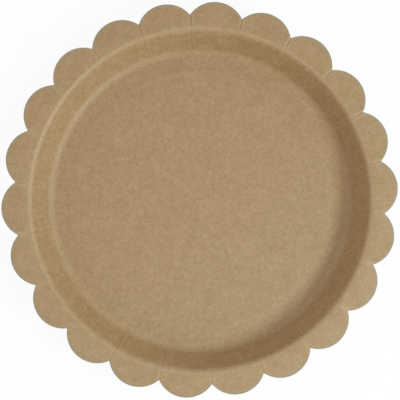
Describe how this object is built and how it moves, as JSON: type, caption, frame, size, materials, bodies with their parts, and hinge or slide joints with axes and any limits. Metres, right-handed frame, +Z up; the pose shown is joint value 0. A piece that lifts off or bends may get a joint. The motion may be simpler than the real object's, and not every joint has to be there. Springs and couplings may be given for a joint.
{
  "type": "paper plate",
  "caption": "Round kraft-brown paper plate pressed from one sheet, with a flat base, a sloping wall and a pleated rim with a scalloped edge.",
  "frame": {"origin": "centre of the resting face, on the plate's axis", "axes": "+Z up along the plate's axis; +X points 3.4 degrees clockwise of a scallop tip"},
  "size_m": [0.2286, 0.2284, 0.017],
  "materials": {
    "kraft_board": "uncoated kraft board with a fine fibre grain and a faint press sheen"
  },
  "bodies": {
    "root": {"scalloped_plate": "kraft_board"}
  },
  "joints": []
}
